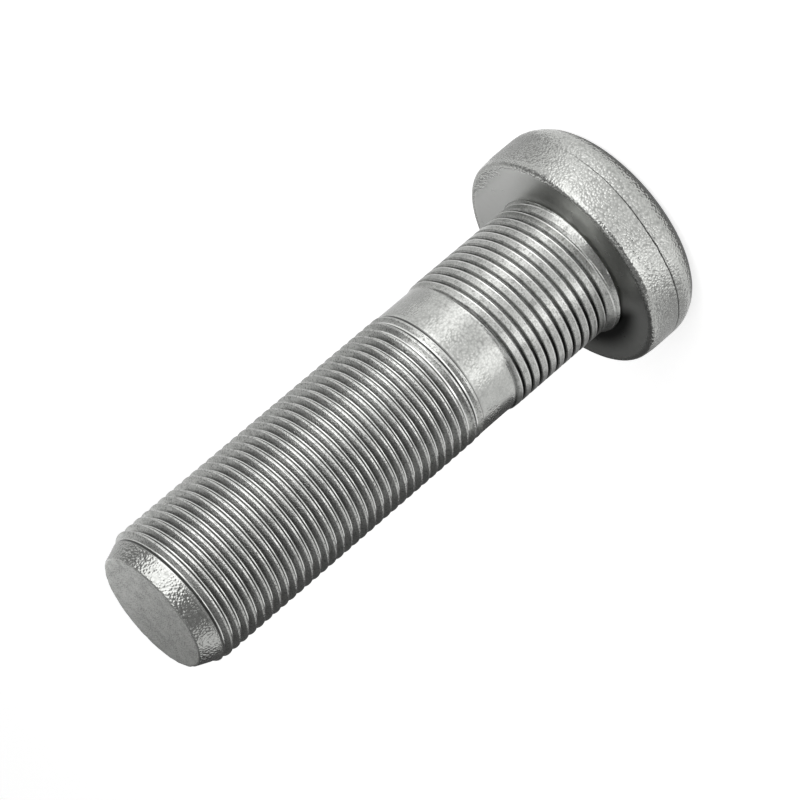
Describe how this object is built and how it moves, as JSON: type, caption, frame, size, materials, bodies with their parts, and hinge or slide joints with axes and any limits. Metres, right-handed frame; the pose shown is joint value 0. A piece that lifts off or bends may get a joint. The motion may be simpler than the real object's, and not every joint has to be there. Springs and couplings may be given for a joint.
{
  "type": "wheel stud",
  "caption": "Pressed-in steel wheel stud with a round forged head, helical press ribs, a plain band and a fine fastening thread ending in a chamfered point.",
  "frame": {"origin": "centre of the head's outer face, on which the stud stands", "axes": "+Z along the stud's axis, from the head to the tip; X and Y are free, as the stud is round"},
  "size_m": [0.0356, 0.0356, 0.09],
  "materials": {
    "zinc_flake_steel": "satin silver-grey zinc-flake coat on forged and rolled steel"
  },
  "bodies": {
    "root": {"wheel_stud": "zinc_flake_steel"}
  },
  "joints": []
}
